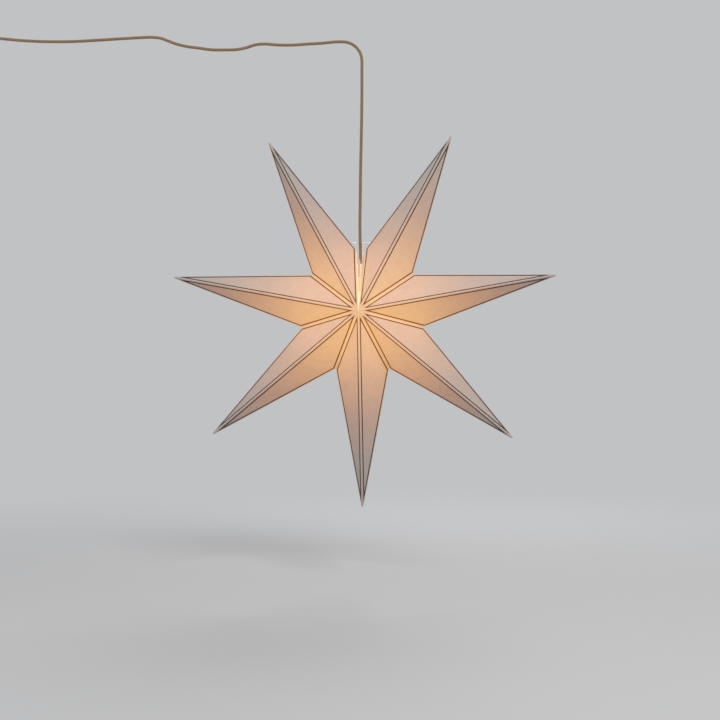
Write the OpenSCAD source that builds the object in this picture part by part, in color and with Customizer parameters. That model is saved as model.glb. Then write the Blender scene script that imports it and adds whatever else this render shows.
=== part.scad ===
// Lit paper star with seven folded points, hung by its own lead.
// The front faces -Y and +Z is up. The origin is the place where the lead rests on a hook.

/* [Star] */
// Distance from the centre of the star to the tip of a point
star_r = 400; // [320:5:480]
// How far the folds would run on past the blunt tip of each point
tip_blunt = 9; // [4:0.5:12]
// Distance from the centre to the corners between two points
valley_r = 128; // [118:1:140]
// Height of the middle of each face above the plane of the star
half_depth = 86; // [78:1:100]
// Angle left open between the two upper points for the lamp
slit_angle = 6.5; // [5:0.5:9]
// Thickness of the folded card
paper_t = 0.5; // [0.3:0.05:0.8]
// Width of the glue flaps inside the seams
flap_w = 10; // [6:0.5:11]
// How far each flap stops short of the end of its seam
flap_trim = 8; // [7:0.5:14]
// How far the left flap in front reaches across the open slit
slit_lap_left = 7; // [4:0.5:7.5]
// How far the right flap in front reaches across the open slit
slit_lap_right = 3.5; // [2:0.5:4.5]
// How far the two flaps at the back reach across the open slit
back_lap = 1.5; // [0.5:0.1:1.8]

/* [Printed lines] */
// Width of the printed line
line_w = 2.6; // [0.8:0.1:3]
// Distance of the line from the ridge fold
ridge_inset = 4.7; // [3:0.1:8]
// Distance of the line from the glued seam
seam_inset = 5.1; // [3:0.1:8]
// Distance of the line from the outer fold
edge_inset = 3.3; // [2:0.1:6]
// Thickness of the print
ink_t = 0.15; // [0.1:0.01:0.3]

/* [Hanging place] */
// Distance from the hook down to the centre of the star
star_drop = 541; // [500:1:600]
// Distance from the hook sideways to the centre of the star
star_x = 15; // [5:1:25]
// Distance from the centre of the star sideways to the lamp, which hangs in the middle of the slit
lamp_shift = -4; // [-5:0.5:-3]

/* [Wire hanger] */
// Thickness of the white wire
wire_d = 2; // [1.4:0.1:2.2]
// Height of the crossbar above the centre of the star
bar_z = 142; // [140:1:150]
// Distance from the lamp axis to the end of each arm
arm_reach = 50; // [44:1:70]
// Length of the turned-down arm ends
arm_end = 8; // [6:0.5:12]
// Play between the wire and what it passes or clasps
wire_play = 0.3; // [0.2:0.05:0.5]

/* [Lampholder] */
// Height of the top of the lampholder above the centre of the star
holder_top = 90; // [86:0.5:98]
// Outer diameter of the lampholder
holder_d = 28; // [26:0.5:29]
// Wall of the lampholder shell
holder_wall = 1.8; // [1.2:0.1:2.4]
// Height of the conical cap
cap_h = 16; // [15:0.5:20]
// Height of the round shell
shell_h = 36; // [34:0.5:44]
// Height of the lead grip on top of the cap
grip_h = 8; // [6:0.5:9]
// Outer diameter of the lead grip
grip_d = 10; // [9:0.5:10.5]
// Thickness of the insulating block with the contacts
block_h = 10; // [7:0.5:12]

/* [Bulb] */
// Outer diameter of the bulb's screw cap
bulb_cap_d = 14; // [13:0.5:15]
// Diameter of the bulb's globe
globe_d = 45; // [40:1:50]
// Length of the globe below the screw cap
globe_l = 56; // [52:1:62]

/* [Lead] */
// Diameter of the textile lead
cord_d = 6; // [5:0.1:6.2]
// Mean diameter of the tied coil
coil_d = 66; // [60:1:72]
// Turns side by side in one layer of the coil
coil_across = 4; // [3:1:5]
// Layers of turns in the coil
coil_layers = 3; // [2:1:3]
// Width of each tie round the coil
tie_w = 12; // [8:1:16]
// Thickness of the ties
tie_t = 1.2; // [0.8:0.1:2]

/* [Plug] */
// Length of the tapered strain relief
relief_l = 30; // [20:1:40]
// Length of the plug body
plug_l = 34; // [28:1:40]
// Width of the plug body
plug_w = 27; // [25:1:32]
// Thickness of the plug body
plug_t = 13; // [11:0.5:16]
// Diameter of the two pins
pin_d = 4; // [3.5:0.1:4.8]
// Length of the two pins
pin_l = 19; // [15:0.5:22]
// Distance between the pins
pin_gap = 18.6; // [17.5:0.1:19.5]

/* [Hidden] */
$fn = 48;

// Each point leans a little where the folded card has settled, in degrees
tip_lean = [1.5, -0.5, -0.5, 0, -0.5, 0.5, 0.5];
// The seams too: the first and the last are the two sides of the open slit
seam_lean = [0.5, 0, 0, 0, 0, 0, 0, 2.5];
points_n = 7;
front = -1;
back = 1;
pitch = (360 - slit_angle) / points_n;

// Route of the lead: from the contacts up to the hook, then left and down to the coil
route = [
    [11, 0, -455], [11, 0, -441], [11, 0, -427], [10.8, 0, -412], [10.3, 0, -394],
    [10, 0, -371], [10.5, 0, -312], [11.5, 0, -241], [13.5, 0, -141], [14, 0, -91],
    [14, 0, -56], [14, 0, -40], [14, 0, -26.5], [12.6, 0, -16], [8.6, 0, -6.3],
    [2.1, 0, 2.1], [-6.3, 0, 8.6], [-16, 0, 12.6], [-26.5, 0, 14], [-43, 0, 14],
    [-69, 0, 12], [-98, 0, 11], [-132, 0, 9.5], [-162, 0, 10.5], [-191, 0, 13],
    [-206, 0, 12], [-225, 0, 6.5], [-244, 0, 3], [-266, 0, 2.5], [-304, 0, 4],
    [-323, 0, 7], [-357, 0, 12.5], [-375, 0, 17.5], [-393, 0, 24.5], [-408, 0, 30],
    [-424, 0, 32], [-447, 0, 32], [-478, 0, 31], [-530, 0, 29], [-600, 0, 27],
    [-670, 0, 29], [-720, 0, 33], [-750, 0, 36.5], [-775, 0, 38], [-785.3, 0, 36],
    [-794.1, 0, 30.1], [-800, 0, 21.3], [-802, 0, 11], [-802, 0, -12], [-802, 0, -34],
    [-802, 0, -48], [-802, 1.5, -57.2], [-802, 6, -65.5], [-802, 14, -72.5], [-802, 22, -78]];
// Route of the short end from the coil down to the plug
tail_route = [
    [-820, 7, -84], [-820.5, 13.6, -86.6], [-821.9, 19.2, -90.8], [-823.7, 23.5, -96.4],
    [-825.4, 26.2, -103], [-826.3, 27, -110], [-826.5, 27, -122], [-826.5, 27, -135],
    [-826.5, 27, -148], [-826.5, 27, -162]];
coil_middle = [-811, 0, -110];

// Vector helpers
function unit(v) = v / norm(v);
function turned(a) = [cos(a), 0, sin(a)];

// Corners of the star's faces, measured from its centre
function tip_angle(k) = -90 + (4 - k) * pitch + tip_lean[k - 1];
function seam_angle(s) = -90 + (3.5 - s) * pitch + seam_lean[s];
function middle_of(side) = [0, side * half_depth, 0];
function tip_of(k) = (star_r + tip_blunt) * turned(tip_angle(k));
function corner_of(s) = valley_r * turned(seam_angle(s));

// Distance of the faces from the centre, which sets the scale of their inner side
face_cross = cross((star_r + tip_blunt) * turned(0) - middle_of(back),
    valley_r * turned(pitch / 2) - middle_of(back));
face_distance = abs(unit(face_cross) * middle_of(back));
inner_scale = 1 - paper_t / face_distance;

// The glue flap along one seam: four points on its outer side, then four on its inner side.
// Hand is -1 on the flap that lies anticlockwise of the point and 1 on the other.
// An open seam's flap also reaches across the slit, by lap.
function flap_points(k, side, hand) =
    let (s = hand < 0 ? k - 1 : k,
        front_lap = s == 0 ? slit_lap_right : slit_lap_left,
        lap = s > 0 && s < points_n ? 0 : side == front ? front_lap : back_lap,
        start = middle_of(side) * inner_scale,
        end = corner_of(s) * inner_scale,
        along = unit(end - start),
        inward = unit(-start + (start * along) * along),
        into_point = turned(seam_angle(s) + hand * 90),
        face_normal = unit(cross(end - start, tip_of(k) * inner_scale - start)),
        slope = cross(face_normal, along),
        up_slope = slope * (slope * into_point > 0 ? 1 : -1),
        rise = up_slope * paper_t / (up_slope * into_point),
        top_trim = lap > 0 ? flap_trim / 3 : flap_trim,
        top_cut = lap > 0 ? 2.2 * flap_w : flap_w,
        reach = sqrt(flap_w * flap_w - lap * lap),
        a = start + along * flap_trim,
        b = end - along * top_trim,
        c = b - along * top_cut + inward * reach - into_point * lap,
        d = a + along * flap_w + inward * flap_w)
    [a, b, c, d, a + rise, b + rise, c + into_point * paper_t, d + into_point * paper_t];

// The card round one face, wound for the flaps on one hand and reversed for the other
function face_card(mid, corner, flap, reverse) =
    let (tip = 2, inside = 5,
        a = flap, b = flap + 1, c = flap + 2, d = flap + 3,
        e = flap + 4, f = flap + 5, g = flap + 6, h = flap + 7,
        faces = [
            [mid, corner, tip],
            [corner, mid, mid + inside], [corner, mid + inside, a],
            [corner, a, b], [corner, b, corner + inside],
            [tip + inside, corner + inside, f], [corner + inside, b, f],
            [tip + inside, f, e], [tip + inside, e, mid + inside], [e, a, mid + inside],
            [b, a, d], [b, d, c], [c, d, h], [c, h, g], [g, h, f], [h, e, f],
            [b, c, g], [b, g, f], [d, a, e], [d, e, h]])
    reverse ? [for (p = faces) [for (i = [len(p) - 1 : -1 : 0]) p[i]]] : faces;

// A block across one point, from one distance from the centre to another
module across_point(k, from, to) {
    wide = 8 * tip_blunt;
    rotate([0, -tip_angle(k), 0])
        translate([from, -wide / 2, -wide / 2])
            cube([to - from, wide, wide]);
}

function card_corners(k) =
    [middle_of(front), middle_of(back), tip_of(k), corner_of(k - 1), corner_of(k)];

// The blunt tip, where the folds of the card meet and fill it
module filled_tip(k) {
    within = (1 + inner_scale) / 2;
    intersection() {
        polyhedron([for (p = card_corners(k)) p * within],
            [[0, 3, 2], [4, 0, 2], [3, 1, 2], [1, 4, 2], [0, 4, 3], [1, 3, 4]]);
        across_point(k, star_r - 4 * paper_t, star_r);
    }
}

// The folded card of one point: four faces with a flap each, open towards the centre
module folded_card(k) {
    outer = card_corners(k);
    inner = [for (p = outer) p * inner_scale];
    flaps = [for (side = [front, back], hand = [-1, 1]) each flap_points(k, side, hand)];
    difference() {
        polyhedron(concat(outer, inner, flaps), concat(
            face_card(0, 3, 10, false), face_card(0, 4, 18, true),
            face_card(1, 3, 26, true), face_card(1, 4, 34, false)));
        across_point(k, star_r, star_r + 2 * tip_blunt);
    }
    filled_tip(k);
}

// Holes that the two arms of the wire hanger pass through
module arm_hole(hand, arm_y) {
    hole_d = wire_d + 2 * wire_play;
    translate([lamp_shift, arm_y, bar_z])
        rotate([0, hand * 90, 0])
            cylinder(h = arm_reach - 2 * wire_d, d = hole_d, $fn = 24);
}

// One whole point of the star
module star_point(k) {
    color("bisque")
        translate([star_x, 0, -star_drop])
            difference() {
                folded_card(k);
                if (k == 1)
                    arm_hole(1, right_arm_y);
                if (k == points_n)
                    arm_hole(-1, left_arm_y);
            }
}

// Corner of a triangle moved inwards from its two sides
function inset_corner(p, q, r, from_pq, from_pr) =
    let (u = unit(q - p), v = unit(r - p), s = norm(cross(u, v)))
    p + u * from_pr / s + v * from_pq / s;
function inset_loop(middle, tip, corner, grow) =
    let (ridge = ridge_inset + grow, edge = edge_inset + grow, seam = seam_inset + grow)
    [inset_corner(middle, tip, corner, ridge, seam),
        inset_corner(tip, corner, middle, edge, ridge),
        inset_corner(corner, middle, tip, seam, edge)];

// The printed line that follows the three sides of one face
module face_line(middle, tip, corner) {
    outer = inset_loop(middle, tip, corner, -line_w / 2);
    inner = inset_loop(middle, tip, corner, line_w / 2);
    normal = unit(cross(tip - middle, corner - middle));
    lift = normal * (normal * middle > 0 ? ink_t : -ink_t);
    loop = concat(outer, inner);
    points = concat(loop, [for (p = loop) p + lift]);
    ring = [for (i = [0 : 2]) let (j = (i + 1) % 3) each [
        [i, j, j + 3, i + 3],
        [i + 6, i + 9, j + 9, j + 6],
        [i, i + 6, j + 6, j],
        [i + 3, j + 3, j + 9, i + 9]]];
    mirrored = normal * middle > 0;
    polyhedron(points, mirrored ? ring : [for (f = ring) [f[3], f[2], f[1], f[0]]]);
}

// The printed lines of one point, on its four faces
module point_lines(k) {
    color("saddlebrown")
        translate([star_x, 0, -star_drop])
            for (side = [front, back])
                for (s = [k - 1, k])
                    face_line(middle_of(side), tip_of(k), corner_of(s));
}

// A round tube swept along points, with its section carried from ring to ring
function direction(path, i) =
    unit(path[min(i + 1, len(path) - 1)] - path[max(i - 1, 0)]);
function carried(path, i, sections) =
    i == len(path) ? sections :
    let (t = direction(path, i), u = sections[i - 1])
    carried(path, i + 1, concat(sections, [unit(u - t * (u * t))]));
function swept_points(path, d, sides) =
    let (t0 = direction(path, 0),
        u0 = unit(cross(t0, abs(t0[1]) < 0.7 ? [0, 1, 0] : [1, 0, 0])),
        us = carried(path, 1, [u0]))
    [for (i = [0 : len(path) - 1])
        let (t = direction(path, i), u = us[i], v = cross(t, u))
        for (j = [0 : sides - 1])
            path[i] + d / 2 * (cos(360 * j / sides) * u + sin(360 * j / sides) * v)];
module swept_tube(path, d, sides) {
    rings = len(path);
    walls = [for (i = [0 : rings - 2], j = [0 : sides - 1])
        let (a = i * sides + j, b = i * sides + (j + 1) % sides)
        each [[a, a + sides, b + sides], [a, b + sides, b]]];
    first = [for (j = [0 : sides - 1]) j];
    last = [for (j = [sides - 1 : -1 : 0]) (rings - 1) * sides + j];
    polyhedron(swept_points(path, d, sides), concat(walls, [first, last]));
}

// Heights of the lamp's pieces above the star's centre
cap_z = holder_top - cap_h;
shell_z = cap_z - shell_h;
block_z = cap_z - holder_wall - block_h;
tip_contact_h = 2.5;
bulb_top_z = block_z - tip_contact_h;
neck_d = grip_d + 3;

// The two arms lie one behind the other, behind the lead
left_arm_y = grip_d / 2 + wire_play + wire_d / 2;
right_arm_y = left_arm_y + wire_d + 2 * wire_play;
left_drop_x = 4.2;
right_drop_x = left_drop_x - wire_d - 2 * wire_play;
clasp_r = holder_d / 2 + wire_play + wire_d / 2;
clasp_z = cap_z - wire_d;
cap_pass_z = cap_z + 1.5 * wire_d;
bend_r = 3;
function hand_arm(hand, y, drop_x) = [
    [hand * arm_reach, y, bar_z - arm_end],
    [hand * arm_reach, y, bar_z - bend_r],
    [hand * (arm_reach - bend_r * 0.3), y, bar_z - bend_r * 0.3],
    [hand * (arm_reach - bend_r), y, bar_z],
    [drop_x + hand * bend_r, y, bar_z],
    [drop_x + hand * bend_r * 0.3, y, bar_z - bend_r * 0.3],
    [drop_x, y, bar_z - bend_r],
    [drop_x, y, holder_top + grip_h],
    [drop_x, y + (clasp_r - y) * 0.15, holder_top],
    [drop_x, clasp_r, cap_pass_z]];
clasp_start = atan2(clasp_r, left_drop_x);
clasp_end = atan2(clasp_r, right_drop_x);
clasp_sweep = 360 - (clasp_end - clasp_start);
clasp_steps = 20;
clasp = [for (i = [0 : clasp_steps])
    let (a = clasp_start - clasp_sweep * i / clasp_steps)
    [clasp_r * cos(a), clasp_r * sin(a), clasp_z]];
function reversed(path) = [for (i = [len(path) - 1 : -1 : 0]) path[i]];

module wire_hanger() {
    color("white")
        translate([star_x + lamp_shift, 0, -star_drop])
            swept_tube(concat(hand_arm(-1, left_arm_y, left_drop_x), clasp,
                reversed(hand_arm(1, right_arm_y, right_drop_x))), wire_d, 10);
}

// Pieces turned about the lamp's upright axis
module turned_piece(profile) {
    translate([star_x + lamp_shift, 0, -star_drop])
        rotate_extrude()
            polygon(profile);
}

cord_bore_r = cord_d / 2 + 0.1;
module lead_grip() {
    color("ivory")
        turned_piece([
            [cord_bore_r, holder_top], [grip_d / 2, holder_top],
            [grip_d / 2, holder_top + grip_h * 0.6],
            [cord_bore_r + 0.8, holder_top + grip_h], [cord_bore_r, holder_top + grip_h]]);
}

module holder_cap() {
    color("ivory")
        turned_piece([
            [cord_bore_r, holder_top - holder_wall], [cord_bore_r, holder_top],
            [neck_d / 2, holder_top], [neck_d / 2 + 0.6, holder_top - 1.5],
            [holder_d / 2, cap_z + 1], [holder_d / 2, cap_z],
            [holder_d / 2 - holder_wall, cap_z],
            [neck_d / 2 - holder_wall + 0.6, holder_top - holder_wall]]);
}

module holder_shell() {
    color("ivory")
        turned_piece([
            [holder_d / 2 - holder_wall, shell_z], [holder_d / 2, shell_z],
            [holder_d / 2, cap_z], [holder_d / 2 - holder_wall, cap_z]]);
}

block_r = holder_d / 2 - holder_wall - 0.1;
module contact_block() {
    color("gainsboro")
        turned_piece([[0, block_z], [block_r, block_z], [block_r, block_z + block_h],
            [block_r - 3, block_z + block_h], [block_r - 4, block_z + block_h - 2],
            [0, block_z + block_h - 2]]);
}

screw_play = 0.4;
screw_wall = 0.6;
screw_r = bulb_cap_d / 2 + screw_play;
module screw_shell() {
    color("goldenrod")
        turned_piece([
            [screw_r, shell_z + 6], [screw_r + screw_wall, shell_z + 6],
            [screw_r + screw_wall, block_z], [screw_r, block_z]]);
}

module centre_contact() {
    color("goldenrod")
        turned_piece([[0, bulb_top_z], [2, bulb_top_z], [2.4, bulb_top_z + 0.6],
            [2.4, block_z], [0, block_z]]);
}

thread_pitch = 2.8;
bulb_cap_h = bulb_top_z - shell_z;
thread_n = floor((bulb_cap_h - 6) / thread_pitch);
module bulb_cap() {
    thread = [for (i = [0 : thread_n - 1]) each [
        [bulb_cap_d / 2 - 0.8, shell_z + 1.5 + i * thread_pitch],
        [bulb_cap_d / 2, shell_z + 1.5 + (i + 0.5) * thread_pitch]]];
    shoulder_z = shell_z + 1.5 + thread_n * thread_pitch;
    color("silver")
        turned_piece(concat(
            [[0, shell_z], [bulb_cap_d / 2 - 0.8, shell_z]], thread,
            [[bulb_cap_d / 2 - 0.8, shoulder_z], [3, bulb_top_z - 1.2],
                [2, bulb_top_z - 1.2], [2, bulb_top_z], [0, bulb_top_z]]));
}

globe_z = shell_z - globe_l + globe_d / 2;
module bulb_globe() {
    neck_r = bulb_cap_d / 2 + 1;
    shoulder_a = 50;
    shoulder = [globe_d / 2 * cos(shoulder_a), globe_z + globe_d / 2 * sin(shoulder_a)];
    steps = 14;
    ball = [for (i = [0 : steps])
        let (a = -90 + (shoulder_a + 90) * i / steps)
        [max(0, globe_d / 2 * cos(a)), globe_z + globe_d / 2 * sin(a)]];
    color("moccasin")
        turned_piece(concat(ball, [
            [(shoulder[0] + neck_r) / 2 + 0.3, (shoulder[1] + shell_z - 2) / 2 + 1],
            [neck_r, shell_z - 2], [neck_r, shell_z], [0, shell_z]]));
}

module cord() {
    color("tan")
        swept_tube(route, cord_d, 10);
}

module cord_tail() {
    color("tan")
        swept_tube(tail_route, cord_d, 10);
}

// The coil's section, and a sleeve of the same shape round it for the ties
coil_w = coil_across * cord_d;
coil_h = coil_layers * cord_d;
module coil_section(grow, beside) {
    translate([coil_d / 2 - coil_h / 2 - grow, -coil_w / 2 - grow - beside])
        square([coil_h + 2 * grow, coil_w + 2 * grow + beside]);
}
module about_coil(from, sweep) {
    translate(coil_middle)
        rotate([0, 90, 0])
            rotate([0, 0, from])
                rotate_extrude(angle = sweep, $fn = 72)
                    children();
}
module cord_coil() {
    color("tan")
        about_coil(0, 360)
            coil_section(0, 0);
}

tie_sweep = tie_w / (coil_d / 2) * 180 / PI;
module coil_tie(place) {
    beside = cord_d + 1;
    color("dimgray")
        about_coil(place - tie_sweep / 2, tie_sweep)
            difference() {
                coil_section(tie_t, beside);
                coil_section(0, beside);
            }
}

// The tail hangs from the lower side of the coil into the plug
plug_top = tail_route[len(tail_route) - 1];
module at_plug(z) {
    translate([plug_top[0], plug_top[1], plug_top[2] - z])
        children();
}
relief_hold = 10;
body_z = relief_l - relief_hold;
module plug_relief() {
    color("ivory")
        at_plug(body_z)
            rotate_extrude()
                polygon([[cord_bore_r, 0], [cord_bore_r, relief_l], [cord_bore_r + 1, relief_l],
                    [plug_t / 2 - 1.2, 0]]);
}

module plug_body() {
    shoulder = 9;
    half_w = plug_w / 2;
    color("ivory")
        at_plug(body_z + plug_l)
            intersection() {
                translate([-plug_t / 2, -half_w, 0])
                    cube([plug_t, plug_w, plug_l]);
                rotate([0, -90, 0])
                    linear_extrude(plug_t, center = true)
                        polygon([[0, -half_w + 1], [1, -half_w], [plug_l - shoulder, -half_w],
                            [plug_l, -plug_t / 2], [plug_l, plug_t / 2], [plug_l - shoulder, half_w],
                            [1, half_w], [0, half_w - 1]]);
                rotate([90, 0, 0])
                    linear_extrude(plug_w, center = true)
                        polygon([[-plug_t / 2 + 1, 0], [-plug_t / 2, 1], [-plug_t / 2, plug_l - 3],
                            [-plug_t / 2 + 1.5, plug_l], [plug_t / 2 - 1.5, plug_l],
                            [plug_t / 2, plug_l - 3], [plug_t / 2, 1], [plug_t / 2 - 1, 0]]);
            }
}

module plug_pins() {
    color("silver")
        at_plug(body_z + plug_l)
            for (hand = [-1, 1])
                translate([0, hand * pin_gap / 2, -pin_l])
                    union() {
                        translate([0, 0, 0.8])
                            cylinder(h = pin_l - 0.8, d = pin_d);
                        cylinder(h = 0.8, d1 = pin_d - 1.6, d2 = pin_d);
                    }
}

star_point(1);  // point_top_right
star_point(2);  // point_right
star_point(3);  // point_lower_right
star_point(4);  // point_bottom
star_point(5);  // point_lower_left
star_point(6);  // point_left
star_point(7);  // point_top_left
point_lines(1);  // lines_top_right
point_lines(2);  // lines_right
point_lines(3);  // lines_lower_right
point_lines(4);  // lines_bottom
point_lines(5);  // lines_lower_left
point_lines(6);  // lines_left
point_lines(7);  // lines_top_left
wire_hanger();
lead_grip();
holder_cap();
holder_shell();
contact_block();
screw_shell();
centre_contact();
bulb_cap();
bulb_globe();
cord();
cord_coil();
cord_tail();
coil_tie(125);  // coil_tie_top
coil_tie(60);  // coil_tie_side
plug_relief();
plug_body();
plug_pins();
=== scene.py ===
# Looks of the lit paper star with its lead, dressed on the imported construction.
# Metres, in the construction's own frame: front -Y, up +Z, origin where the lead rests on its hook.
import math
import random

import bmesh
import bpy
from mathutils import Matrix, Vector


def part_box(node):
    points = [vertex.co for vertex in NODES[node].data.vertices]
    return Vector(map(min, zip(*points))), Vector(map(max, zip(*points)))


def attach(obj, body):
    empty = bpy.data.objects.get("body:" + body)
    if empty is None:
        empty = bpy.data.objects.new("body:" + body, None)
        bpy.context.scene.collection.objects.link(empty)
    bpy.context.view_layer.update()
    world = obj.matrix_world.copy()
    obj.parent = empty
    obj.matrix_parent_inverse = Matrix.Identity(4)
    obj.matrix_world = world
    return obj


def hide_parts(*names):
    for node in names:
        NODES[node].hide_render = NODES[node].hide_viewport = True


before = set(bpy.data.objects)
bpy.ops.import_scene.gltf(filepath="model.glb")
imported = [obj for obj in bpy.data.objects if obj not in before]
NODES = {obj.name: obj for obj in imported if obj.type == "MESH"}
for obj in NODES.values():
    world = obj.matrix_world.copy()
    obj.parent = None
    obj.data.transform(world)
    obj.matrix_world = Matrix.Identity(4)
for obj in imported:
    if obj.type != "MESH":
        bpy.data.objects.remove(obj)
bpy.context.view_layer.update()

BODY = "root"
MM = 0.001

# Camera as in the photograph: level, a little to the right of the star's front
CAMERA_AT = Vector((0.287, -2.8605, -0.640))
CAMERA_TURN = math.radians(5.53)
CAMERA_LENS = 70.0

# Lead: its real length and thickness, and the route that the construction's tubes follow
LEAD_D = 0.006
ROUTE = [
    (0.011, 0, -0.455), (0.011, 0, -0.441), (0.011, 0, -0.427), (0.0108, 0, -0.412),
    (0.0103, 0, -0.394), (0.010, 0, -0.371), (0.0105, 0, -0.312), (0.0115, 0, -0.241),
    (0.0135, 0, -0.141), (0.014, 0, -0.091), (0.014, 0, -0.056), (0.014, 0, -0.040),
    (0.014, 0, -0.0265), (0.0126, 0, -0.016), (0.0086, 0, -0.0063), (0.0021, 0, 0.0021),
    (-0.0063, 0, 0.0086), (-0.016, 0, 0.0126), (-0.0265, 0, 0.014), (-0.043, 0, 0.014),
    (-0.069, 0, 0.012), (-0.098, 0, 0.011), (-0.132, 0, 0.0095), (-0.162, 0, 0.0105),
    (-0.191, 0, 0.013), (-0.206, 0, 0.012), (-0.225, 0, 0.0065), (-0.244, 0, 0.003),
    (-0.266, 0, 0.0025), (-0.304, 0, 0.004), (-0.323, 0, 0.007), (-0.357, 0, 0.0125),
    (-0.375, 0, 0.0175), (-0.393, 0, 0.0245), (-0.408, 0, 0.030), (-0.424, 0, 0.032),
    (-0.447, 0, 0.032), (-0.478, 0, 0.031), (-0.530, 0, 0.029), (-0.600, 0, 0.027),
    (-0.670, 0, 0.029), (-0.720, 0, 0.033), (-0.750, 0, 0.0365), (-0.775, 0, 0.038),
    (-0.7853, 0, 0.036), (-0.7941, 0, 0.0301), (-0.800, 0, 0.0213), (-0.802, 0, 0.011),
    (-0.802, 0, -0.012), (-0.802, 0, -0.034), (-0.802, 0, -0.048), (-0.802, 0.0015, -0.0572),
    (-0.802, 0.006, -0.0655), (-0.802, 0.014, -0.0725), (-0.802, 0.022, -0.078)]
TAIL_ROUTE = [
    (-0.820, 0.007, -0.084), (-0.8205, 0.0136, -0.0866), (-0.8219, 0.0192, -0.0908),
    (-0.8237, 0.0235, -0.0964), (-0.8254, 0.0262, -0.103), (-0.8263, 0.027, -0.110),
    (-0.8265, 0.027, -0.122), (-0.8265, 0.027, -0.135), (-0.8265, 0.027, -0.148),
    (-0.8265, 0.027, -0.162)]

# Coil: four turns side by side, four more inside them and two in the middle
COIL_MIDDLE = Vector((-0.811, 0.0, -0.110))
COIL_OUTER_R = 0.039
COIL_SIDE_X = -0.802
OUTER_TURNS = 4
INNER_TURNS = 2

# Star: where its middle and its bulb are, and how far from the middle its folds would meet
STAR_AT = Vector((0.015, 0.0, -0.541))
BULB_AT = Vector((0.011, 0.0, -0.5365))
FOLD_MEET = 0.409

# Light in the card: how far the bulb's glow reaches, and how much sooner it fades up and down
GLOW_REACH = 0.42
GLOW_SQUASH = 1.27

# Bow of the card's faces: the most they sink and swell, its seed, and how long an edge stays for it
BOW_IN = -0.3 * MM
BOW_OUT = 0.8 * MM
BOW_SEED = 40
CARD_EDGE = 0.008

# Surroundings: the colours of backdrop and floor, and the floor's height and half width
BACKDROP = (0.535, 0.54, 0.55)
FLOOR = (0.52, 0.525, 0.535)
FLOOR_Z = -1.10
FLOOR_HALF = 3.2

# Meshes: how near doubled vertices lie, and the angle in degrees from which an edge is sharp
WELD_WITHIN = 2e-6
SHARP_ANGLE = 30.0

# The star's points, clockwise from the top right as seen from the front
POINTS = ["top_right", "right", "lower_right", "bottom", "lower_left", "left", "top_left"]


# Camera and stage

def make_camera():
    """The view of the photograph."""
    data = bpy.data.cameras.new("photo_camera")
    data.lens = CAMERA_LENS
    data.sensor_width = 36.0
    data.clip_end = 50.0
    camera = bpy.data.objects.new("photo_camera", data)
    camera.location = CAMERA_AT
    camera.rotation_euler = (math.radians(90), 0, CAMERA_TURN)
    bpy.context.scene.collection.objects.link(camera)
    bpy.context.scene.camera = camera


# Mesh helpers

def link(name, mesh):
    """A new piece that rides on the part's only body."""
    piece = bpy.data.objects.new(name, mesh)
    bpy.context.scene.collection.objects.link(piece)
    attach(piece, BODY)
    return piece


def finish_mesh(bm, name, material, sharp_angle=SHARP_ANGLE):
    """Write a bmesh to a new mesh, smooth but for edges sharper than an angle."""
    bmesh.ops.recalc_face_normals(bm, faces=bm.faces)
    for face in bm.faces:
        face.smooth = True
    for edge in bm.edges:
        if len(edge.link_faces) == 2 and edge.calc_face_angle() > math.radians(sharp_angle):
            edge.smooth = False
    mesh = bpy.data.meshes.new(name)
    bm.to_mesh(mesh)
    bm.free()
    mesh.materials.append(material)
    return mesh


def welded(node):
    """A node's own mesh as a bmesh, with the doubled vertices of its faces joined."""
    bm = bmesh.new()
    bm.from_mesh(NODES[node].data)
    bmesh.ops.remove_doubles(bm, verts=bm.verts, dist=WELD_WITHIN)
    return bm


def cut_long_edges(bm, longest, passes=8):
    """Halve every edge that is longer than a length, until none is left."""
    for _ in range(passes):
        long_edges = [e for e in bm.edges if e.calc_length() > longest]
        if not long_edges:
            return
        bmesh.ops.subdivide_edges(bm, edges=long_edges, cuts=1)
        bmesh.ops.triangulate(bm, faces=bm.faces)


def dressed(node, name, material, bevel=0.0, segments=2, sharp_angle=SHARP_ANGLE):
    """A smooth copy of a node with a better finish, and with softened edges where it has a bevel."""
    piece = link(name, finish_mesh(welded(node), name, material, sharp_angle))
    if bevel:
        rounding = piece.modifiers.new("edges", "BEVEL")
        rounding.width = bevel
        rounding.segments = segments
        rounding.limit_method = "ANGLE"
        rounding.angle_limit = math.radians(SHARP_ANGLE)
        rounding.harden_normals = True
    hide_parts(node)
    return piece


def smooth_path(points, step):
    """Points about a step apart on the smooth curve through the given points."""
    points = [Vector(p) for p in points]
    at = [0.0]
    for a, b in zip(points, points[1:]):
        at.append(at[-1] + (b - a).length)
    last = len(points) - 1
    chords = [(points[i + 1] - points[i]) / (at[i + 1] - at[i]) for i in range(last)]
    slope = [chords[0]]
    for i in range(1, last):
        before, after = at[i] - at[i - 1], at[i + 1] - at[i]
        slope.append((chords[i - 1] * after + chords[i] * before) / (before + after))
    slope.append(chords[-1])
    out = []
    for i in range(last):
        span = at[i + 1] - at[i]
        pieces = max(1, round(span / step))
        for k in range(pieces):
            t = k / pieces
            out.append(points[i] * (2 * t**3 - 3 * t**2 + 1) + slope[i] * span * (t**3 - 2 * t**2 + t)
                       + points[i + 1] * (3 * t**2 - 2 * t**3) + slope[i + 1] * span * (t**3 - t**2))
    out.append(points[last])
    return out


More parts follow.
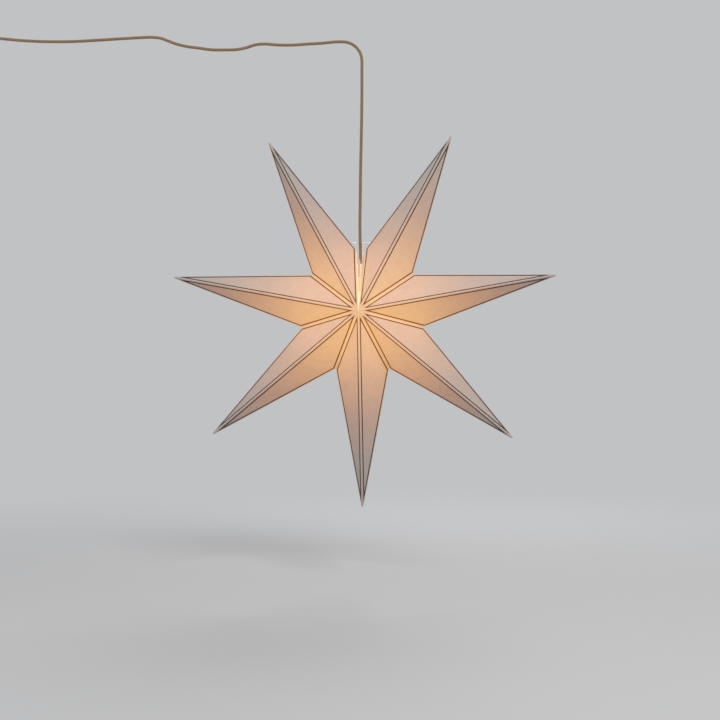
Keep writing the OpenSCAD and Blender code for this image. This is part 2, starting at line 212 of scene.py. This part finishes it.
def tube(name, path, diameter, sides, material):
    """A round tube along a path, with U once round it and V in metres along it."""
    bm = bmesh.new()
    uv = bm.loops.layers.uv.new("UVMap")
    last = len(path) - 1
    direction = (path[1] - path[0]).normalized()
    across = direction.orthogonal().normalized()
    rings = []
    along = [0.0]
    for i, place in enumerate(path):
        if i:
            along.append(along[-1] + (place - path[i - 1]).length)
        direction = (path[min(i + 1, last)] - path[max(i - 1, 0)]).normalized()
        across = (across - direction * across.dot(direction)).normalized()
        other = direction.cross(across)
        ring = []
        for k in range(sides):
            turn = 2 * math.pi * k / sides
            outward = across * math.cos(turn) + other * math.sin(turn)
            ring.append(bm.verts.new(place + outward * diameter / 2))
        rings.append(ring)
    for i in range(last):
        for k in range(sides):
            n = (k + 1) % sides
            face = bm.faces.new((rings[i][k], rings[i][n], rings[i + 1][n], rings[i + 1][k]))
            places = ((k, i), (k + 1, i), (k + 1, i + 1), (k, i + 1))
            for loop, (u, v) in zip(face.loops, places):
                loop[uv].uv = (u / sides, along[v])
    bm.faces.new(list(reversed(rings[0])))
    bm.faces.new(rings[last])
    return finish_mesh(bm, name, material, 60.0)


def lathe(name, profile, middle, material, steps):
    """A ring about the upright line through middle, from its outline's (radius, height) pairs."""
    bm = bmesh.new()
    rings = []
    for radius, height in profile:
        place = middle + Vector((0, 0, height))
        rings.append([
            bm.verts.new(place + Vector((math.cos(a), math.sin(a), 0)) * radius)
            for a in (2 * math.pi * k / steps for k in range(steps))])
    for low, high in zip(rings, rings[1:] + rings[:1]):
        for k in range(steps):
            n = (k + 1) % steps
            bm.faces.new((low[k], low[n], high[n], high[k]))
    return finish_mesh(bm, name, material)


# Shader helpers

class Finish:
    """One material, with short calls for the nodes that feed its single shader."""

    def __init__(self, name):
        self.material = bpy.data.materials.new(name)
        self.material.use_nodes = True
        self.tree = self.material.node_tree
        self.shader = self.tree.nodes["Principled BSDF"]
        self.coords = self.tree.nodes.new("ShaderNodeTexCoord")

    def feed(self, socket, value):
        if isinstance(value, bpy.types.NodeSocket):
            self.tree.links.new(value, socket)
        elif isinstance(value, (tuple, list)) and socket.type == "RGBA":
            socket.default_value = (*value[:3], 1.0)
        else:
            socket.default_value = value

    def set(self, **values):
        """Feed the shader's sockets: base_color=..., roughness=... and so on."""
        for name, value in values.items():
            self.feed(self.shader.inputs[name.replace("_", " ").title().replace("Ior", "IOR")], value)

    def node(self, kind, inputs=(), **settings):
        made = self.tree.nodes.new(kind)
        for name, value in settings.items():
            setattr(made, name, value)
        for socket, value in zip(made.inputs, inputs):
            if value is not None:
                self.feed(socket, value)
        return made

    def calc(self, operation, a, b=0.0):
        return self.node("ShaderNodeMath", (a, b), operation=operation).outputs[0]

    def spread(self, value, low, high, to_low=0.0, to_high=1.0, smooth=True):
        kind = "SMOOTHSTEP" if smooth else "LINEAR"
        return self.node("ShaderNodeMapRange", (value, low, high, to_low, to_high),
                         interpolation_type=kind).outputs[0]

    def noise(self, scale, detail, roughness=0.55):
        made = self.node("ShaderNodeTexNoise")
        for name, value in (("Vector", self.coords.outputs["Object"]), ("Scale", scale),
                            ("Detail", detail), ("Roughness", roughness)):
            self.feed(made.inputs[name], value)
        return made.outputs["Fac"]

    def ramp(self, value, stops):
        made = self.node("ShaderNodeValToRGB", (value,))
        points = made.color_ramp.elements
        while len(points) < len(stops):
            points.new(0.5)
        for point, (place, colour) in zip(points, stops):
            point.position = place
            point.color = (*colour, 1.0)
        return made.outputs["Color"]

    def mix(self, share, a, b, blend="MIX"):
        made = self.node("ShaderNodeMix", data_type="RGBA", blend_type=blend)
        for index, value in ((0, share), (6, a), (7, b)):
            self.feed(made.inputs[index], value)
        return made.outputs[2]

    def tinted(self, colour, pattern, low, high):
        """A colour made darker and lighter by a pattern from 0 to 1."""
        shade = self.spread(pattern, 0.25, 0.75, low, high, smooth=False)
        return self.mix(1.0, colour, shade, "MULTIPLY")

    def bump(self, height, distance, strength):
        made = self.node("ShaderNodeBump")
        for name, value in (("Strength", strength), ("Distance", distance), ("Height", height)):
            self.feed(made.inputs[name], value)
        return made.outputs["Normal"]

    def reach(self):
        """How far from the bulb, as a share of its light's reach, which is shorter up and down."""
        offset = self.node("ShaderNodeVectorMath", (self.coords.outputs["Object"], tuple(BULB_AT)),
                           operation="SUBTRACT").outputs[0]
        scaled = self.node("ShaderNodeVectorMath", (offset, (1.0, 1.0, GLOW_SQUASH)),
                           operation="MULTIPLY").outputs[0]
        length = self.node("ShaderNodeVectorMath", (scaled,), operation="LENGTH").outputs["Value"]
        return self.calc("DIVIDE", length, GLOW_REACH)

    def upward(self):
        """From 0 on faces that look down to 1 on faces that look up."""
        normal = self.node("ShaderNodeNewGeometry").outputs["Normal"]
        split = self.node("ShaderNodeSeparateXYZ", (normal,))
        return self.spread(split.outputs[2], -0.6, 0.6)

    def attribute(self, name):
        return self.node("ShaderNodeAttribute", attribute_name=name).outputs["Fac"]


# Materials

def paper_material():
    """White card with the bulb's warm light in it, strongest round the middle."""
    f = Finish("star_paper")
    reach = f.reach()
    up = f.upward()
    clouds = f.noise(70.0, 5.0, 0.6)
    fibres = f.noise(900.0, 3.0, 0.7)
    # Painted light from above: faces that look up get a paler, cooler card colour, faces that look down
    # a warmer one. Both are darker towards the middle, where most of the brightness comes from the
    # painted glow.
    card_painted_top_lit = f.ramp(reach, [
        (0.10, (0.25, 0.25, 0.26)), (0.30, (0.28, 0.285, 0.295)), (0.47, (0.33, 0.33, 0.33)),
        (0.68, (0.385, 0.37, 0.36)), (0.95, (0.42, 0.39, 0.375))])
    card_painted_under_shade = f.ramp(reach, [
        (0.10, (0.24, 0.24, 0.24)), (0.30, (0.27, 0.26, 0.25)), (0.47, (0.33, 0.305, 0.28)),
        (0.68, (0.39, 0.335, 0.30)), (0.95, (0.42, 0.37, 0.34))])
    card = f.mix(up, card_painted_under_shade, card_painted_top_lit)
    card = f.tinted(card, clouds, 0.97, 1.03)
    card = f.tinted(card, fibres, 0.975, 1.02)
    # Painted highlight and wear: a paler line along each fold's ridge.
    fold_highlight_and_wear = f.spread(f.attribute("ridge_gap"), 0.0002, 0.0007, 1.0, 0.0)
    card = f.mix(f.calc("MULTIPLY", fold_highlight_and_wear, 0.35), card, (0.60, 0.56, 0.52))
    # Painted light: the bulb's glow through the card is painted as emission, fading from the middle. On
    # faces that look down it is stronger and more orange, standing in for the light from above that
    # they miss.
    glow_painted_top = f.ramp(reach, [
        (0.10, (0.60, 0.30, 0.12)), (0.30, (0.52, 0.24, 0.095)), (0.47, (0.32, 0.13, 0.035)),
        (0.68, (0.13, 0.045, 0.010)), (0.95, (0.02, 0.008, 0.002))])
    glow_painted_under = f.ramp(reach, [
        (0.10, (0.76, 0.37, 0.09)), (0.30, (0.61, 0.285, 0.075)), (0.47, (0.395, 0.155, 0.03)),
        (0.68, (0.18, 0.055, 0.008)), (0.95, (0.03, 0.010, 0.002))])
    glow = f.mix(up, glow_painted_under, glow_painted_top)
    # Painted light: a brighter band of glow along each seam near the middle, away from the ridges.
    seam_painted_glow = f.spread(f.attribute("seam_gap"), 0.0030, 0.0046, 1.0, 0.0)
    near = f.calc("MULTIPLY", f.spread(reach, 0.12, 0.42, 1.0, 0.0),
                  f.spread(f.attribute("ridge_gap"), 0.003, 0.012))
    glow = f.mix(f.calc("MULTIPLY", f.calc("MULTIPLY", seam_painted_glow, near), 0.8), glow, (0.78, 0.39, 0.10))
    # Painted light: the glue flaps glow with the bulb's light, brighter near the middle.
    flap = f.mix(f.spread(reach, 0.08, 0.27), (0.64, 0.35, 0.13), (0.40, 0.20, 0.13))
    glow = f.tinted(glow, clouds, 0.93, 1.07)
    # Painted light: the card's inner skin glows as if lit by the bulb, brightest near it.
    lit = f.mix(f.spread(reach, 0.15, 0.85), (1.0, 0.80, 0.42), (0.55, 0.30, 0.10))
    glow = f.mix(f.attribute("inside"), glow, lit)
    glow = f.mix(f.attribute("flap"), glow, flap)
    f.set(base_color=card, roughness=f.spread(fibres, 0.3, 0.7, 0.72, 0.86),
          specular_ior_level=0.3, emission_color=glow, emission_strength=1.0,
          normal=f.bump(fibres, 0.00005, 0.5))
    return f.material


def print_material():
    """Dark brown ink that the light inside turns orange brown near the middle."""
    f = Finish("brown_print")
    reach = f.reach()
    grain = f.noise(1400.0, 2.0)
    ink = f.tinted((0.030, 0.012, 0.006), grain, 0.85, 1.2)
    glow = f.ramp(reach, [
        (0.18, (0.20, 0.058, 0.004)), (0.32, (0.10, 0.026, 0.002)), (0.50, (0.035, 0.008, 0.001)),
        (0.75, (0.004, 0.001, 0.0))])
    f.set(base_color=ink, roughness=0.6, emission_color=glow, emission_strength=1.0,
          normal=f.bump(grain, 0.00003, 0.4))
    return f.material


def textile_material():
    """Tan yarn braided in sixteen strands round the lead."""
    f = Finish("tan_textile")
    strands, strand_step = 16.0, 0.0013
    split = f.node("ShaderNodeSeparateXYZ", (f.coords.outputs["UV"],))
    around = f.calc("MULTIPLY", split.outputs[0], strands)
    along = f.calc("DIVIDE", split.outputs[1], strand_step)
    left = f.calc("ADD", around, along)
    right = f.calc("SUBTRACT", around, along)
    parity = f.calc("PINGPONG", f.calc("ADD", f.calc("FLOOR", left), f.calc("FLOOR", right)), 1.0)
    over = []
    for strand in (left, right):
        over.append(f.calc("SINE", f.calc("MULTIPLY", f.calc("FRACT", strand), math.pi)))
    chosen = f.calc("ADD", f.calc("MULTIPLY", over[0], parity),
                    f.calc("MULTIPLY", over[1], f.calc("SUBTRACT", 1.0, parity)))
    strand_id = f.calc("ADD", f.calc("MULTIPLY", f.calc("FLOOR", left), parity),
                       f.calc("MULTIPLY", f.calc("FLOOR", right), f.calc("SUBTRACT", 1.0, parity)))
    shade = f.node("ShaderNodeTexWhiteNoise", (None, strand_id), noise_dimensions="1D").outputs["Value"]
    fuzz = f.noise(2500.0, 2.0, 0.6)
    yarn = f.mix(f.calc("MULTIPLY", shade, 0.6), (0.31, 0.20, 0.105), (0.225, 0.14, 0.068))
    # Painted shade: the yarn turns dark brown in the gaps between strands.
    yarn = f.mix(f.spread(chosen, 0.0, 0.75, 0.6, 0.0), yarn, (0.09, 0.053, 0.026))
    yarn = f.tinted(yarn, fuzz, 0.88, 1.1)
    f.set(base_color=yarn, roughness=0.85, normal=f.bump(chosen, 0.0003, 0.8),
          sheen_weight=0.1, sheen_roughness=0.5)
    return f.material


def plastic_material(name, colour, low, high):
    """Moulded plastic with a faint grain."""
    f = Finish(name)
    grain = f.noise(1200.0, 2.0)
    patches = f.noise(60.0, 3.0)
    f.set(base_color=f.tinted(colour, patches, 0.96, 1.03),
          roughness=f.spread(grain, 0.3, 0.7, low, high), normal=f.bump(grain, 0.00003, 0.35))
    return f.material


def metal_material(name, colour, low, high, grain_scale):
    """Plain metal with fine marks that change its shine."""
    f = Finish(name)
    marks = f.noise(grain_scale, 4.0, 0.65)
    f.set(base_color=f.tinted(colour, marks, 0.9, 1.05), metallic=1.0,
          roughness=f.spread(marks, 0.3, 0.7, low, high), normal=f.bump(marks, 0.00002, 0.3))
    return f.material


def wire_material():
    """White lacquer on steel wire, a little uneven."""
    f = Finish("white_wire")
    skin = f.noise(500.0, 3.0)
    f.set(base_color=f.tinted((0.88, 0.87, 0.85), skin, 0.95, 1.03),
          roughness=f.spread(skin, 0.3, 0.7, 0.28, 0.42), normal=f.bump(skin, 0.00006, 0.4),
          coat_weight=0.3, coat_roughness=0.2)
    return f.material


def opal_material():
    """Opal glass of the bulb, lit warm white."""
    f = Finish("bulb_opal")
    haze = f.noise(90.0, 2.0)
    f.set(base_color=f.tinted((0.35, 0.30, 0.22), haze, 0.98, 1.02), roughness=0.32,
          emission_color=(1.0, 0.78, 0.48), emission_strength=1.1)
    return f.material


def tie_material():
    """Black woven tape."""
    f = Finish("tie_fabric")
    thread_step = 0.0009
    split = f.node("ShaderNodeSeparateXYZ", (f.coords.outputs["Object"],))
    threads = []
    for axis in (0, 2):
        wave = f.calc("SINE", f.calc("MULTIPLY", split.outputs[axis], 2 * math.pi / thread_step))
        threads.append(f.calc("ABSOLUTE", wave))
    weave = f.calc("MAXIMUM", threads[0], threads[1])
    fuzz = f.noise(1500.0, 3.0, 0.6)
    cloth = f.tinted((0.035, 0.035, 0.038), fuzz, 0.7, 1.5)
    f.set(base_color=cloth, roughness=0.9, normal=f.bump(weave, 0.00015, 0.7),
          sheen_weight=0.3, sheen_roughness=0.5)
    return f.material


PAPER = paper_material()
PRINT = print_material()
TEXTILE = textile_material()
IVORY = plastic_material("ivory_plastic", (0.80, 0.76, 0.66), 0.28, 0.42)
INSULATOR = plastic_material("grey_insulator", (0.55, 0.54, 0.52), 0.5, 0.65)
BRASS = metal_material("contact_brass", (0.75, 0.56, 0.26), 0.22, 0.4, 400.0)
BULB_METAL = metal_material("bulb_metal", (0.75, 0.75, 0.76), 0.2, 0.38, 400.0)
NICKEL = metal_material("pin_metal", (0.78, 0.77, 0.75), 0.12, 0.26, 500.0)
WIRE = wire_material()
OPAL = opal_material()
TIE = tie_material()


# Lead

def coil_path(step):
    """The turns of the coil: the outer layer, the one inside it, and a short third one."""
    start_point = Vector(ROUTE[-1]) - COIL_MIDDLE
    end_point = Vector(TAIL_ROUTE[0]) - COIL_MIDDLE
    start = math.degrees(math.atan2(start_point.y, start_point.z))
    end = math.degrees(math.atan2(end_point.y, end_point.z))
    layers_end = 2 * 360.0 * OUTER_TURNS
    total = layers_end + 360.0 * INNER_TURNS + end
    shift_at, shift_long, shift_sooner = 270.0, 120.0, 30.0
    drift_after = 30.0

    def eased(value, low, high):
        t = min(1.0, max(0.0, (value - low) / (high - low)))
        return t * t * (3 - 2 * t)

    out = []
    count = round(math.radians(total - start) * COIL_OUTER_R / step)
    for i in range(1, count):
        turn = start + (total - start) * i / count
        radius = COIL_OUTER_R
        side = 0.0
        for k in range(2 * OUTER_TURNS):
            layer, place = divmod(k, OUTER_TURNS)
            layer_ends = place == OUTER_TURNS - 1
            low = 360 * k + shift_at - shift_sooner * (2 * layer + layer_ends)
            shift = LEAD_D * eased(turn, low, low + shift_long)
            if layer_ends:
                radius -= shift
            else:
                side += shift if layer == 0 else -shift
        drift = max(0.0, turn - layers_end)
        drift = drift**2 / (4 * drift_after) if drift < 2 * drift_after else drift - drift_after
        side += (OUTER_TURNS - 1) * LEAD_D * drift / (total - layers_end - drift_after)
        a = math.radians(turn)
        out.append(Vector((COIL_SIDE_X - side, COIL_MIDDLE.y + radius * math.sin(a),
                           COIL_MIDDLE.z + radius * math.cos(a))))
    return out


def make_lead():
    """The lead in one piece: up to the hook, along to the coil, round it and down to the plug."""
    step = 0.003
    path = smooth_path([*ROUTE, *coil_path(step), *TAIL_ROUTE], step)
    lead = link("lead", tube("lead", path, LEAD_D, sides=16, material=TEXTILE))
    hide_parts("cord", "cord_coil", "cord_tail")
    return lead, path


def make_plug():
    """The plug's ribbed strain relief, its body and its two pins."""
    low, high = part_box("plug_relief")
    middle = Vector(((low[0] + high[0]) / 2, (low[1] + high[1]) / 2, low[2]))
    length = high[2] - low[2]
    wide, narrow, bore = (high[0] - low[0]) / 2, 4.1 * MM, 3.1 * MM
    ribs, plain_share = 6, 0.22
    rib_step = length * (1 - plain_share) / ribs
    rib_out, groove_in = 0.3 * MM, 0.5 * MM
    profile = [(bore, 0.0), (wide, 0.0)]
    for k in range(ribs):
        radius = wide + (narrow - wide) * (k + 1) / ribs
        foot = length * plain_share + rib_step * k
        profile += [(radius + rib_out, foot), (radius + rib_out, foot + rib_step * 0.55),
                    (radius - groove_in, foot + rib_step * 0.62),
                    (radius - groove_in, foot + rib_step * 0.93)]
    profile += [(bore, length)]
    relief = link("plug_relief_ribs", lathe("plug_relief_ribs", profile, middle, IVORY, steps=40))
    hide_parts("plug_relief")
    body = dressed("plug_body", "plug_housing", IVORY, 1.4 * MM, 4)
    pins = dressed("plug_pins", "plug_contacts", NICKEL, 0.25 * MM)
    return [relief, body, pins]


# Star

def corners_of(node):
    """Where one point's folds would meet, and the two corners of its outer skin."""
    on_plane, blunt_depth = 0.05 * MM, 0.2 * MM
    flat = [v.co.copy() for v in NODES[node].data.vertices if abs(v.co.y) < on_plane]
    farthest = max((p - STAR_AT).length for p in flat)
    blunt_end = [p - STAR_AT for p in flat if (p - STAR_AT).length > farthest - blunt_depth]
    outward = sum(blunt_end, Vector()).normalized()
    tip = STAR_AT + outward * FOLD_MEET
    across = Vector((outward.z, 0, -outward.x))
    corners = [max(flat, key=lambda p: (p - STAR_AT).dot(across) * hand) for hand in (-1, 1)]
    return tip, corners


def measures(place, tip, corners, depth):
    """How far a place is from ridge and seam, its shares of tip, corner and middle, and its side."""
    flat = Vector((place.x - STAR_AT.x, 0, place.z - STAR_AT.z))
    outward = (tip - STAR_AT).normalized()
    across = Vector((outward.z, 0, -outward.x))
    hand = 0 if flat.dot(across) < 0 else 1
    corner = corners[hand] - STAR_AT
    seam_normal = Vector((corner.z, 0, -corner.x)).normalized()
    tip_off = abs((tip - STAR_AT).dot(seam_normal))
    seam_gap = abs(flat.dot(seam_normal))
    on_face = flat.dot(seam_normal) * (tip - STAR_AT).dot(seam_normal) > 0
    ridge_gap = abs(flat.dot(across))
    shares = (seam_gap / tip_off if on_face else 0.0, ridge_gap / abs(corner.dot(across)),
              abs(place.y) / depth)
    beyond = 0.0 if on_face else seam_gap
    return ridge_gap, seam_gap, beyond, shares, hand


def settled(place, shares, swell, normal):
    """Where a place on the card ends up when each face bows a little between its folds."""
    tip_share, corner_share, middle_share = shares
    # The product of the three shares is 1/27 where they are equal, and less elsewhere on the face
    bow_share = 27 * tip_share * corner_share * middle_share
    return place + normal * swell * bow_share


def make_point(name, order):
    """One folded point with its printed lines, cut finely so that its faces can bow."""
    tip, corners = corners_of("point_" + name)
    depth = max(v.co.y for v in NODES["point_" + name].data.vertices)
    flap_edge, skin_depth, fold_angle = 0.3 * MM, 0.4 * MM, 14.0
    random_bow = random.Random(BOW_SEED + order)
    swell = {(side, hand): random_bow.uniform(BOW_IN, BOW_OUT) for side in (-1, 1) for hand in (0, 1)}
    normals = {}
    for side, hand in swell:
        middle = STAR_AT + Vector((0, side * depth, 0))
        normal = (tip - middle).cross(corners[hand] - middle).normalized()
        normals[side, hand] = normal if normal.y * side > 0 else -normal
    for kind, title, material, slot in (("point_", "card_" + name, PAPER, "star_paper"),
                                        ("lines_", "print_" + name, PRINT, "brown_print")):
        bm = welded(kind + name)
        cut_long_edges(bm, CARD_EDGE)
        layers = {layer: bm.verts.layers.float.new(layer)
                  for layer in ("ridge_gap", "seam_gap", "inside", "flap")}
        for vert in bm.verts:
            ridge_gap, seam_gap, beyond, shares, hand = measures(vert.co, tip, corners, depth)
            side = -1 if vert.co.y < 0 else 1
            sunk = (tip - vert.co).dot(normals[side, hand])
            vert[layers["ridge_gap"]] = ridge_gap
            vert[layers["seam_gap"]] = seam_gap
            vert[layers["inside"]] = min(1.0, max(0.0, sunk / skin_depth))
            vert[layers["flap"]] = min(1.0, beyond / flap_edge)
            vert.co = settled(vert.co, shares, swell[side, hand], normals[side, hand])
        piece = link(title, finish_mesh(bm, title, material, fold_angle))
        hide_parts(kind + name)


# Lampholder, bulb and hanger

def make_lamp():
    """The lampholder's pieces, the bulb and the wire hanger."""
    dressed("lead_grip", "grip", IVORY, 0.3 * MM)
    dressed("holder_cap", "cap", IVORY, 0.5 * MM)
    dressed("holder_shell", "shell", IVORY, 0.4 * MM)
    dressed("contact_block", "insulator", INSULATOR, 0.3 * MM)
    dressed("screw_shell", "thread_shell", BRASS)
    dressed("centre_contact", "tip_contact", BRASS, 0.2 * MM)
    dressed("bulb_cap", "bulb_base", BULB_METAL)
    dressed("bulb_globe", "globe", OPAL, sharp_angle=50.0)
    dressed("wire_hanger", "hanger", WIRE, sharp_angle=60.0)


# Floor, light and background

def make_stage():
    """A plain floor that keeps the shadow and fades into the backdrop."""
    mesh = bpy.data.meshes.new("floor")
    signs = ((-1, -1), (1, -1), (1, 1), (-1, 1))
    mesh.from_pydata([(x * FLOOR_HALF, y * FLOOR_HALF, FLOOR_Z) for x, y in signs], [], [(0, 1, 2, 3)])
    floor = bpy.data.objects.new("floor", mesh)
    bpy.context.scene.collection.objects.link(floor)
    material = bpy.data.materials.new("floor")
    material.use_nodes = True
    tree = material.node_tree
    nodes = tree.nodes
    matt = nodes["Principled BSDF"]
    matt.inputs["Base Color"].default_value = (*FLOOR, 1)
    matt.inputs["Roughness"].default_value = 0.9
    matt.inputs["Specular IOR Level"].default_value = 0.0
    coords = nodes.new("ShaderNodeTexCoord")
    away = nodes.new("ShaderNodeVectorMath")
    away.operation = "DISTANCE"
    away.inputs[1].default_value = (0, 0, FLOOR_Z)
    fade_from, fade_to = 0.5, 2.2
    fade = nodes.new("ShaderNodeMapRange")
    fade.interpolation_type = "SMOOTHSTEP"
    fade.inputs["From Min"].default_value = fade_from
    fade.inputs["From Max"].default_value = fade_to
    clear = nodes.new("ShaderNodeBsdfTransparent")
    mixed = nodes.new("ShaderNodeMixShader")
    tree.links.new(coords.outputs["Object"], away.inputs[0])
    tree.links.new(away.outputs["Value"], fade.inputs["Value"])
    tree.links.new(fade.outputs["Result"], mixed.inputs[0])
    tree.links.new(matt.outputs[0], mixed.inputs[1])
    tree.links.new(clear.outputs[0], mixed.inputs[2])
    tree.links.new(mixed.outputs[0], nodes["Material Output"].inputs[0])
    mesh.materials.append(material)


def make_world():
    """Plain background for what the camera and shiny things see, and a soft even light."""
    world = bpy.data.worlds.new("studio")
    bpy.context.scene.world = world
    world.use_nodes = True
    tree = world.node_tree
    light = tree.nodes["Background"]
    light.inputs["Color"].default_value = (1.0, 1.0, 1.0, 1)
    light.inputs["Strength"].default_value = 0.42
    seen = tree.nodes.new("ShaderNodeBackground")
    seen.inputs["Color"].default_value = (*BACKDROP, 1)
    rays = tree.nodes.new("ShaderNodeLightPath")
    direct = tree.nodes.new("ShaderNodeMath")
    direct.operation = "MAXIMUM"
    plain = tree.nodes.new("ShaderNodeMath")
    plain.operation = "MAXIMUM"
    mixed = tree.nodes.new("ShaderNodeMixShader")
    tree.links.new(rays.outputs["Is Camera Ray"], direct.inputs[0])
    tree.links.new(rays.outputs["Is Glossy Ray"], direct.inputs[1])
    tree.links.new(direct.outputs[0], plain.inputs[0])
    tree.links.new(rays.outputs["Is Transmission Ray"], plain.inputs[1])
    tree.links.new(plain.outputs[0], mixed.inputs[0])
    tree.links.new(light.outputs[0], mixed.inputs[1])
    tree.links.new(seen.outputs[0], mixed.inputs[2])
    tree.links.new(mixed.outputs[0], tree.nodes["World Output"].inputs[0])


def soft_lamp(name, place, aim, size, power, colour):
    """A round area lamp that is turned to what it lights."""
    data = bpy.data.lights.new(name, "AREA")
    data.shape = "DISK"
    data.size = size
    data.energy = power
    data.color = colour
    lamp = bpy.data.objects.new(name, data)
    lamp.location = place
    lamp.rotation_euler = (Vector(aim) - Vector(place)).to_track_quat("-Z", "Y").to_euler()
    bpy.context.scene.collection.objects.link(lamp)


def make_light():
    """A key light from the right, a weaker one from the left and one from behind."""
    soft_lamp("key", (1.3, -2.3, 1.3), STAR_AT, 1.2, 52.0, (1.0, 0.98, 0.96))
    soft_lamp("fill", (-2.2, -2.2, -0.2), STAR_AT, 1.6, 22.0, (0.96, 0.98, 1.0))
    soft_lamp("back", (0.4, 2.4, 1.0), STAR_AT, 1.6, 45.0, (1.0, 1.0, 1.0))


make_camera()
lead, lead_path = make_lead()
plug_pieces = make_plug()
ties = [
    dressed("coil_tie_top", "tie_top", TIE, 0.35 * MM),
    dressed("coil_tie_side", "tie_side", TIE, 0.35 * MM)]
for order, name in enumerate(POINTS):
    make_point(name, order)
make_lamp()
make_stage()
make_world()
make_light()
bpy.context.scene.view_settings.view_transform = "Standard"
